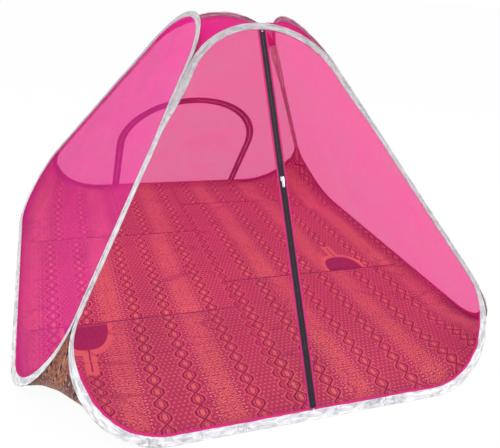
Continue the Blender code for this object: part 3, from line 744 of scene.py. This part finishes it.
def printed_cloth(name, shift, depth, motif=None):
    """Printed cloth: linked lozenges, dots and stippled bands on maroon, in the cloth's own flat metres."""
    period, first_chain, second_chain = 0.305, 0.0925, 0.2125
    chain_half, link, dot_pitch = 0.0205, 0.057, 0.017

    def ink(*channels):
        return (*(min(1.0, depth * channel) for channel in channels), 1.0)

    maroon, rust = ink(0.275, 0.044, 0.056), ink(0.400, 0.086, 0.088)
    gold, light = ink(0.820, 0.280, 0.130), ink(0.960, 0.480, 0.270)
    dark, plum = ink(0.018, 0.001, 0.010), ink(0.060, 0.001, 0.028)
    material, tree, shader = new_finish(name)
    attribute = tree.nodes.new("ShaderNodeAttribute")
    attribute.attribute_name = "cloth"
    spot = attribute.outputs["Vector"]
    flat = add_node(tree, "ShaderNodeSeparateXYZ", Vector=spot)
    plain_u, plain_v = flat.outputs["X"], flat.outputs["Y"]

    def calc(operation, *values):
        return add_math(tree, operation, *values)

    def near(value, target, reach):
        return calc("COMPARE", value, target, reach)

    def both(first, second):
        return calc("MULTIPLY", first, second)

    def below(value, limit):
        return calc("LESS_THAN", value, limit)

    def apart(value, target):
        return calc("ABSOLUTE", calc("SUBTRACT", value, target))

    def part_of(value, pitch):
        return calc("FRACT", calc("DIVIDE", value, pitch))

    u = calc("WRAP", calc("ADD", plain_u, shift[0]), period, 0.0)
    v = calc("ADD", plain_v, shift[1])
    chain_gap = calc("MINIMUM", apart(u, first_chain), apart(u, second_chain))
    aside = calc("DIVIDE", chain_gap, chain_half)
    from_middle = both(apart(part_of(v, link), 0.5), 2.8)
    ring = calc("ADD", aside, calc("MAXIMUM", 0.0, calc("SUBTRACT", from_middle, 0.40)))
    grain = add_noise(tree, spot, 150.0, 2.0)
    drawn_out = add_node(tree, "ShaderNodeMapping", Vector=spot, Scale=(1.0, 3.2, 1.0))
    folds = add_noise(tree, drawn_out.outputs[0], 2.6, 1.0, 0.4)
    fading = add_noise(tree, spot, 4.0, 2.0)

    offset = both(calc("FLOOR", calc("DIVIDE", v, dot_pitch)), 0.5)
    dot_u = apart(calc("FRACT", calc("ADD", calc("DIVIDE", u, dot_pitch), offset)), 0.5)
    dot_v = apart(part_of(v, dot_pitch), 0.5)
    dot_reach = calc("ADD", both(dot_u, dot_u), both(dot_v, dot_v))
    band_gap = calc("MINIMUM", u, calc("SUBTRACT", period, u))
    flecks = calc("GREATER_THAN", grain, 0.47)
    layers = [
        (both(below(dot_reach, 0.040), 0.65), light),
        (both(both(below(band_gap, 0.033), flecks), 0.80), gold),
    ]
    for line, pitch in ((0.012, 0.013), (0.036, 0.010), (0.047, 0.014)):
        step = part_of(v, pitch)
        on_line = near(band_gap, line, 0.0022)
        layers += [(both(on_line, below(step, 0.5)), light), (both(on_line, near(step, 0.75, 0.2)), dark)]
    layers += [
        (both(both(near(ring, 1.40, 0.16), below(aside, 1.40)), 0.85), gold),
        (both(below(ring, 0.8), 0.5), gold),
        (near(ring, 1.0, 0.22), dark),
        (near(ring, 0.48, 0.09), dark),
        (below(ring, 0.34), gold),
    ]
    if motif:
        centre, half, drop, stem, facing = motif
        off_axis = apart(plain_u, centre[0])
        side = calc("POWER", calc("DIVIDE", off_axis, half), 2.6)
        up = calc("DIVIDE", calc("SUBTRACT", plain_v, centre[1]), facing * drop)
        lobe = calc("ADD", side, calc("POWER", apart(up, 0.0), 2.6))
        inside = calc("GREATER_THAN", up, 0.0)
        in_stem = both(below(off_axis, 0.022), both(below(up, stem), inside))
        layers += [
            (calc("MAXIMUM", both(below(lobe, 1.65), inside), in_stem), gold),
            (both(below(off_axis, 0.0028), both(below(up, stem - 0.12), inside)), plum),
            (both(below(lobe, 1.0), inside), plum),
        ]
    # Painted shade: the print darkens half way to plum at the cloth's edges, fading out over 80 mm where the
    # edge turns up; it darkens the corner gussets too
    from_side = calc("SUBTRACT", SIDE_LIMIT, apart(plain_u, 0.0))
    from_edge = calc("MINIMUM", from_side, calc("SUBTRACT", END_LIMIT, apart(plain_v, 0.0)))
    layers += [
        (fall_off(tree, from_edge, 0.08, 0.5), plum),
        # Thin plum lines along noise-drawn fold creases: painted shade
        (both(near(folds, 0.5, 0.008), 0.4), plum),
        (spread(tree, fading, 0.20, 0.0), plum),
    ]
    colour = add_mix(tree, spread(tree, grain, 0.0, 1.0), maroon, rust)
    for share, tint in layers:
        colour = add_mix(tree, share, colour, tint)
    feed(tree, shader, Base_Color=colour, Roughness=spread(tree, grain, 0.78, 0.92), Sheen_Weight=0.15)
    add_bump(tree, shader, grain, 0.35, 0.0008)
    return material


def thicken(piece, thickness):
    """Give a cloth its thickness, inwards or downwards."""
    wall = piece.modifiers.new("thickness", "SOLIDIFY")
    wall.thickness = thickness
    wall.offset = -1.0
    return wall


left_motif = ((-0.645, -0.372), 0.078, 0.150, 2.0, -1.0)
right_motif = ((0.575, -0.168), 0.088, 0.118, 1.95, 1.0)
floor_lengths = (
    ("left_front", (0.5455, 0.010), 0.84, left_motif),
    ("left_middle", (0.5455, 0.035), 1.06, None),
    ("left_rear", (0.500, 0.022), 1.06, None),
    ("right_front", (0.400, 0.018), 0.88, None),
    ("right_middle", (0.432, 0.040), 1.02, right_motif),
    ("right_rear", (0.470, 0.005), 1.05, None),
)
cloth_finishes = {}
for place_name, shift, depth, motif in floor_lengths:
    node = f"floor_cloth_{place_name}"
    mesh, flat, area = flat_cut(node, Matrix(), FLOOR_SPACING)
    cloth = mesh.verts.layers.float_vector.new("cloth")
    for vertex in mesh.verts:
        vertex[cloth] = vertex.co
        inside = min(SIDE_LIMIT - abs(vertex.co.x), END_LIMIT - abs(vertex.co.y))
        slack = floor_height(vertex.co.x, vertex.co.y) * ease(inside / SLACK_FADE)
        vertex.co.z = slack + FLOOR_CLEARANCE + corner_lift(vertex.co)
        raise_edge(vertex.co)
    cloth_finishes[place_name] = printed_cloth(f"printed_cloth_{place_name}", shift, depth, motif)
    piece = finish_piece(f"{node}_sheet", mesh, Matrix(), cloth_finishes[place_name])
    thicken(piece, CLOTH_THICKNESS)
    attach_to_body(piece, "front")
    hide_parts(node)
    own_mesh(piece)


# Floor seams
# The lengths are joined by felled seams in plum thread, which stand up as narrow rolled ridges.

SEAM_HALF = 0.0028
SEAM_RISE = 0.0016
SEAM_LIFT = 0.0018
SEAM_WANDER = 0.0022
SEAM_SIDE = 0.845
SEAM_CORNER = 0.735
SEAM_END = 0.955

seam_thread = mottled_finish(
    "plum_seam_thread", (500.0,), (0.045, 0.001, 0.020), (0.120, 0.004, 0.045), 0.85, (0.5, 0.0005),
)
plain_seam = mottled_finish(
    "maroon_seam", (300.0,), (0.240, 0.026, 0.030), (0.520, 0.110, 0.050), 0.85, (0.4, 0.0006),
)
floor_lines = (
    ("lengthwise", (SEAM_X, -SEAM_END), (0.0, 2 * SEAM_END)),
    ("left_front", (-SEAM_SIDE, LEFT_SEAMS[0]), (SEAM_SIDE + SEAM_X, 0.0)),
    ("left_rear", (-SEAM_SIDE, LEFT_SEAMS[1]), (SEAM_SIDE + SEAM_X, 0.0)),
    ("right_front", (SEAM_X, RIGHT_SEAMS[0]), (SEAM_SIDE - SEAM_X, 0.0)),
    ("right_rear", (SEAM_X, RIGHT_SEAMS[1]), (SEAM_CORNER - SEAM_X, 0.0)),
)
shoulder = 0.6 * SEAM_RISE
ridge = ((-1.0, -0.0006), (-0.75, shoulder), (0.0, SEAM_RISE), (0.75, shoulder), (1.0, -0.0006))
for line_name, start, line in floor_lines:
    run = Vector(line).to_3d()
    across = Vector((-run.y, run.x, 0.0)).normalized() * SEAM_HALF
    points = [Vector((*start, rise)) + across * side for side, rise in ridge]
    mesh = sweep(points, [(run, None, 0.0)], STRIP_STEP, 1.0)
    for vertex in mesh.verts:
        x, y = vertex.co.x, vertex.co.y
        wander = noise.noise(Vector((x * 16.0, y * 16.0, 21.0))) * SEAM_WANDER
        vertex.co += across.normalized() * wander
        vertex.co.z += floor_height(x, y) + SEAM_LIFT
    finish = plain_seam if line_name == "lengthwise" else seam_thread
    seam = finish_piece(f"floor_seam_{line_name}", mesh, Matrix(), finish)
    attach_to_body(seam, "front")
    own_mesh(seam)


# Corner gussets
# The floor's cloth goes on up each base corner between two neighbouring hoops, with its columns unbroken.
# It hangs slack towards its foot, where it turns in under the hoops, and its outer side is printed darker,
# as painted shade.

FOOT_OVERLAP = 0.030
FOOT_HEIGHT = 0.006
FOOT_FADE = 0.004
LIFT_TOP = 0.12
FOLD_DEPTH = 0.006
FREE_FROM = 0.09
TOWARDS_WIRE = 0.6
CLIMB_SHARE = 0.7

wall_sides = {
    "front": Vector((0.0, -1.0, 0.0)), "left": Vector((-1.0, 0.0, 0.0)),
    "right": Vector((1.0, 0.0, 0.0)), "rear": Vector((0.0, 1.0, 0.0)),
}
gussets = (
    ("front_left_gusset", "left_front", "front", "left"),
    ("front_right_gusset", "right_front", "front", "right"),
    ("rear_left_gusset", "left_rear", "left", "rear"),
    ("rear_right_gusset", "right_rear", "right", "rear"),
)


def on_hoop(place):
    """Whether a gusset's edge point is sewn to a hoop."""
    return abs(nearest_wall(place)[1].z) < 0.010


# The outer side's print is at 0.38 of full strength: painted shade
outer_side_painted_shade = printed_cloth("printed_cloth_outer_side", (0.5455, 0.010), 0.38)
for node, floor_length, first, second in gussets:
    corner = wall_sides[first] + wall_sides[second]
    outwards = corner.normalized()
    across = Vector((-outwards.y, outwards.x, 0.0))
    mesh = node_mesh(node)
    facing_out = (outwards - Vector((0.0, 0.0, 0.5))).normalized()
    slim = [f for f in mesh.faces if f.calc_area() / max(e.calc_length() for e in f.edges) < 0.0008]
    inner = [f for f in mesh.faces if f.normal.dot(facing_out) < 0.0 and f not in slim]
    bmesh.ops.delete(mesh, geom=slim + inner, context="FACES")
    bmesh.ops.join_triangles(mesh, faces=mesh.faces, angle_face_threshold=0.9, angle_shape_threshold=1.8)
    bmesh.ops.subdivide_edges(mesh, edges=mesh.edges, cuts=2, use_grid_fill=True, smooth=0.5)
    cloth = mesh.verts.layers.float_vector.new("cloth")
    for vertex in mesh.verts:
        if vertex.is_boundary and on_hoop(vertex.co):
            wall, spot = nearest_wall(vertex.co)
            outward, depth, climb = wall.from_wire(spot)
            wire = Vector((spot.x + outward.x * depth, spot.y + outward.y * depth, 0.0))
            vertex.co = wall.matrix @ spot.lerp(wire, TOWARDS_WIRE)
    from_edge = edge_distances(mesh, on_hoop)
    mesh.normal_update()
    for vertex in mesh.verts:
        spot = vertex.co.dot(across)
        climbed = outwards * CLIMB_SHARE * vertex.co.z
        fold = noise.noise(Vector((spot * 14.0, vertex.co.z * 4.0, corner.x * 3.0 + corner.y)))
        free = ease(from_edge[vertex] / FREE_FROM)
        lift = corner_lift(vertex.co) * ease(1.0 - vertex.co.z / LIFT_TOP)
        under = FOOT_OVERLAP * ease((FOOT_HEIGHT - vertex.co.z) / FOOT_FADE)
        vertex.co += free * (outwards * (FOLD_DEPTH * fold - under) + Vector((0.0, 0.0, lift)))
        vertex[cloth] = vertex.co + climbed
    area = sum(face.calc_area() for face in mesh.faces)
    reach = [vertex.co.dot(across) for vertex in mesh.verts]
    width = max(reach) - min(reach)
    piece = finish_piece(f"{node}_sheet", mesh, Matrix(), outer_side_painted_shade)
    piece.data.materials.append(cloth_finishes[floor_length])
    thicken(piece, CLOTH_THICKNESS).material_offset = 1
    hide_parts(node)
    # The hoops fold apart at the rear right corner, so its gusset stays with the right one
    if node != "rear_right_gusset":
        low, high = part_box(node)
        middle = (low + high) / 2
        towards = (wall_sides[second] - wall_sides[first]).normalized() * width * 0.35
        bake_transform(piece, first, second, start=middle - towards, end=middle + towards)
    else:
        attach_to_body(piece, first)
        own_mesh(piece)


# Zip tapes
# The front slit and the rear doorway close with black nylon zips. Their tapes are ribbed woven strips,
# sewn to the hemmed edges of the net, and the rear one follows the arch of the doorway.

TAPE_NEAR = 0.0032
TAPE_FAR = 0.0126
TAPE_THICKNESS = 0.0009
SELVEDGE = 0.0016
NET_HEM = 0.006
REAR_FACING = 0.009
HEM_THICKNESS = 0.0016
HEM_OVERLAP = 0.0016
ZIP_BOTTOM = 0.0079
DOOR_RADIUS = 0.365
DOOR_SPRING = 0.42
DOOR_FOOT = 0.0306

arch_centre = Vector((0.0, walls["rear"].base + DOOR_SPRING, 0.0))
front_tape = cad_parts["front_zip_tape_right"].data
tape_top = max((into_walls["front"] @ vertex.co).y for vertex in front_tape.vertices)

zip_tape, tree, shader = new_finish("zip_tape")
ribs = object_noise(tree, 700.0, 2.0)
fade = object_noise(tree, 25.0, 3.0)
tone = add_mix(tree, spread(tree, ribs, 0.0, 1.0), (0.008, 0.007, 0.009, 1.0), (0.026, 0.023, 0.027, 1.0))
worn = add_mix(tree, spread(tree, fade, 0.0, 0.25), tone, (0.045, 0.038, 0.044, 1.0))
feed(tree, shader, Base_Color=worn, Roughness=0.8, Specular_IOR_Level=0.2)
add_bump(tree, shader, ribs, 0.5, 0.0006)


def strip_section(start, near, far, thickness):
    """A woven strip's section across X: a thin band with a rolled selvedge at its far edge."""
    half = thickness / 2
    side = math.copysign(1.0, far - near)
    upper = [(near, half), (0.5 * (near + far), 0.8 * half)]
    upper += [(far - SELVEDGE * side, half), (far - 0.5 * SELVEDGE * side, 1.5 * half)]
    points = upper + [(far, 0.0)] + [(x, -z) for x, z in reversed(upper)]
    return [start + Vector((x, 0.0, z)) for x, z in points]


def add_strip(name, wall, start, near, far, thickness, legs, material):
    """A woven strip carried along a route."""
    mesh = sweep(strip_section(start, near, far, thickness), legs, STRIP_STEP, DOOR_RADIUS)
    pucker(mesh, 0.0003, 0.02, near * 1000.0)
    return finish_piece(name, mesh, wall.matrix, material)


def arch_legs(foot):
    """The doorway's route from its right foot, over the arch, to its left foot."""
    rise = Vector((0.0, arch_centre.y - foot, 0.0))
    return [(rise, None, 0.0), (None, arch_centre, math.pi), (-rise, None, 0.0)]


zip_run = [(Vector((0.0, tape_top - ZIP_BOTTOM, 0.0)), None, 0.0)]
front_foot = Vector((0.0, ZIP_BOTTOM, 0.0))
arch_foot = Vector((DOOR_RADIUS, ZIP_BOTTOM, 0.0))
door_foot = Vector((DOOR_RADIUS, DOOR_FOOT, 0.0))
zip_strips = (
    ("front_zip_tape_right", "front", "front", front_foot, 1.0, zip_run),
    ("front_zip_tape_left", "front", "front", front_foot, -1.0, zip_run),
    ("rear_zip_tape_outer", "rear", "rear", arch_foot, 1.0, arch_legs(ZIP_BOTTOM)),
    ("rear_door_zip_tape", "rear", "rear_door", door_foot, -1.0, arch_legs(DOOR_FOOT)),
)
zip_hems = {"front": (NET_HEM, hem_finish, "pink_net"), "rear": (REAR_FACING, zip_tape, "zip_tape")}
for node, wall_name, body, start, side, legs in zip_strips:
    wall = walls[wall_name]
    near, far = side * TAPE_NEAR, side * TAPE_FAR
    piece = add_strip(f"{node}_strip", wall, start, near, far, TAPE_THICKNESS, legs, zip_tape)
    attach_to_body(piece, body)
    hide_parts(node)
    hem_width, finish, slot = zip_hems[wall_name]
    hem_near = TAPE_FAR - HEM_OVERLAP
    near, far = side * hem_near, side * (hem_near + hem_width)
    hem = add_strip(f"{node}_hem", wall, start, near, far, HEM_THICKNESS, legs, finish)
    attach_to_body(hem, body)


# Zip coils
# Each side of a zip is a coil of black nylon wire, sewn along the edge of its tape.
# Its loops mesh with those opposite, half a pitch further on.

TOOTH_PITCH = 0.0017
WIRE_HALF = 0.0004
LOOP_HUB = 0.0004
LOOP_END = 0.0021
LOOP_RADIUS = 0.0009
CORE_NEAR = 0.0016
CORE_FAR = 0.0031
CORE_THICKNESS = 0.0011
COIL_BOTTOM = 0.0349
COIL_TOP = 1.3061
STOP_LENGTH = 0.0046

zip_coil = mottled_finish(
    "zip_coil", (400.0,), (0.012, 0.011, 0.013), (0.045, 0.040, 0.046), (0.45, 0.65), Specular_IOR_Level=0.2,
)


def add_tooth(mesh, start, side):
    """One loop of the coil: nylon wire bent round towards the middle line."""
    profile = bmesh.ops.create_circle(mesh, segments=5, radius=WIRE_HALF)
    upper_end = start + Vector((side * LOOP_END, 0.0, LOOP_RADIUS))
    lay = Matrix.Translation(upper_end) @ Matrix.Rotation(math.pi / 2, 4, "Y")
    bmesh.ops.transform(mesh, matrix=lay, verts=profile["verts"])
    edges = list({edge for vertex in profile["verts"] for edge in vertex.link_edges})
    hub = start + Vector((side * LOOP_HUB, 0.0, 0.0))
    bmesh.ops.spin(
        mesh, geom=profile["verts"] + edges, cent=hub, axis=(0.0, -side, 0.0), angle=math.pi, steps=4,
        use_duplicate=False,
    )
    return mesh.verts[:] + mesh.edges[:] + mesh.faces[:]


above_stop = DOOR_FOOT + STOP_LENGTH
arch_start = Vector((DOOR_RADIUS, above_stop, 0.0))
coil_start = Vector((0.0, COIL_BOTTOM, 0.0))
coil_run = [(Vector((0.0, COIL_TOP - COIL_BOTTOM, 0.0)), None, 0.0)]
coil_rows = (
    ("front_zip_coil_right", "front", "front", coil_start, 1.0, coil_run),
    ("front_zip_coil_left", "front", "front", coil_start, -1.0, coil_run),
    ("rear_zip_coil_outer", "rear", "rear", arch_start, 1.0, arch_legs(above_stop)),
    ("rear_door_zip_coil", "rear", "rear_door", door_foot, -1.0, arch_legs(DOOR_FOOT)),
)
core_data = bpy.data.meshes.new("coil_core")
for node, wall_name, body, start, side, legs in coil_rows:
    mesh = bmesh.new()
    offset = Vector((0.0, TOOTH_PITCH / 2 if side < 0.0 else 0.0, 0.0))
    tooth = add_tooth(mesh, start + offset, side)
    repeat(mesh, tooth, legs, TOOTH_PITCH, DOOR_RADIUS)
    section = strip_section(start, side * CORE_NEAR, side * CORE_FAR, CORE_THICKNESS)
    core = sweep(section, legs, STRIP_STEP, DOOR_RADIUS)
    core.to_mesh(core_data)
    core.free()
    mesh.from_mesh(core_data)
    piece = finish_piece(f"{node}_row", mesh, walls[wall_name].matrix, zip_coil)
    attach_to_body(piece, body)
    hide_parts(node)


# Sliders, pull tabs and stops
# The small metal pieces of the zips are nickel-plated zinc: two plates joined by a wedge, a pin between two
# ears, and a flat tab with a hole. Crimped stops close the ends of the coils.

nickel = mottled_finish(
    "nickel", (900.0, 4.0, (1.0, 1.0, 0.2)), (0.58, 0.57, 0.55), (0.80, 0.79, 0.77), (0.16, 0.34),
    (0.15, 0.0001), Metallic=1.0,
)
METAL_EDGE = 0.0003
metal_pieces = (
    ("front_zip_slider", "front_slider"), ("front_zip_pull", "front_pull"),
    ("rear_zip_slider", "rear_slider"), ("rear_zip_pull", "rear_pull"),
    ("front_zip_bottom_stop", "front"), ("front_zip_top_stop", "front"),
    ("rear_zip_stop_left", "rear"), ("rear_zip_stop_right", "rear"),
)
for node, body in metal_pieces:
    mesh = node_mesh(node, merge=0.000002)
    bmesh.ops.dissolve_limit(mesh, angle_limit=0.03, verts=mesh.verts, edges=mesh.edges)
    sharp = [e for e in mesh.edges if e.is_manifold and e.calc_face_angle() > 0.9]
    bmesh.ops.bevel(
        mesh, geom=sharp, offset=METAL_EDGE, offset_type="OFFSET", affect="EDGES", segments=2, profile=0.5,
        material=-1, clamp_overlap=True,
    )
    piece = finish_piece(f"{node}_cast", mesh, Matrix(), nickel, smooth=False)
    piece.data.set_sharp_from_angle(angle=0.6)
    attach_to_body(piece, body)
    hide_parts(node)


# Ground, light and camera
# A plain pale floor under soft studio light, seen from in front and a little to the left of the tent.


def seen_directly(tree):
    """1 where the camera, a reflection or a refraction looks at the surroundings, and 0 for their light."""
    path = tree.nodes.new("ShaderNodeLightPath")
    seen = add_math(tree, "MAXIMUM", path.outputs["Is Camera Ray"], path.outputs["Is Glossy Ray"])
    return add_math(tree, "MAXIMUM", seen, path.outputs["Is Transmission Ray"])


floor_mesh = bmesh.new()
bmesh.ops.create_grid(floor_mesh, x_segments=1, y_segments=1, size=40.0)
pale_floor, tree, shader = new_finish("pale_floor")
feed(tree, shader, Base_Color=(0.88, 0.87, 0.87, 1.0), Roughness=0.9)
glow = add_node(tree, "ShaderNodeEmission", Color=(1.0, 1.0, 1.0, 1.0), Strength=1.0)
blend_in = mix_shaders(tree, add_math(tree, "MULTIPLY", seen_directly(tree), 0.94), shader, glow)
feed(tree, tree.nodes["Material Output"], Surface=blend_in.outputs[0])
GROUND_DROP = 0.0012
lowered = Matrix.Translation((0.0, 0.0, -GROUND_DROP))
ground = finish_piece("ground", floor_mesh, lowered, pale_floor, smooth=False)

world = bpy.data.worlds.new("studio")
bpy.context.scene.world = world
world.use_nodes = True
tree = world.node_tree
strength = add_math(tree, "MULTIPLY_ADD", seen_directly(tree), 0.10, 0.90)
feed(tree, tree.nodes["Background"], Color=(1.0, 1.0, 1.0, 1.0), Strength=strength)

lamp_spots = (
    ("key", (-2.6, -3.2, 4.2), 2.4, 150.0),
    ("fill", (3.4, -1.6, 2.8), 2.4, 66.0),
)
for name, place, size, power in lamp_spots:
    light = bpy.data.lights.new(name, "AREA")
    light.size = size
    light.energy = power
    lamp = bpy.data.objects.new(name, light)
    lamp.location = place
    lamp.rotation_euler = (Vector((0.0, 0.0, 0.3)) - Vector(place)).to_track_quat("-Z", "Y").to_euler()
    bpy.context.scene.collection.objects.link(lamp)

IMAGE_WIDTH = 500.0
FOCAL_PIXELS = 540.6
MIDDLE_PIXEL_X = 225.0
CAMERA_PLACE = (-0.736, -2.091, 1.245)
azimuth = math.radians(-19.50)
pitch = math.radians(25.18)
roll = math.radians(4.80)
back = Vector((math.sin(azimuth) * math.cos(pitch), -math.cos(azimuth) * math.cos(pitch), math.sin(pitch)))
level = (-back).cross(Vector((0.0, 0.0, 1.0))).normalized()
upright = level.cross(-back)
side_axis = level * math.cos(roll) + upright * math.sin(roll)
up_axis = upright * math.cos(roll) - level * math.sin(roll)
lens = bpy.data.cameras.new("camera")
lens.sensor_width = 36.0
lens.lens = FOCAL_PIXELS * lens.sensor_width / IMAGE_WIDTH
lens.shift_x = 0.5 - MIDDLE_PIXEL_X / IMAGE_WIDTH
camera = bpy.data.objects.new("camera", lens)
facing = Matrix((side_axis, up_axis, back)).transposed().to_4x4()
camera.matrix_world = Matrix.Translation(CAMERA_PLACE) @ facing
bpy.context.scene.collection.objects.link(camera)
bpy.context.scene.camera = camera
bpy.context.scene.view_settings.view_transform = "Standard"
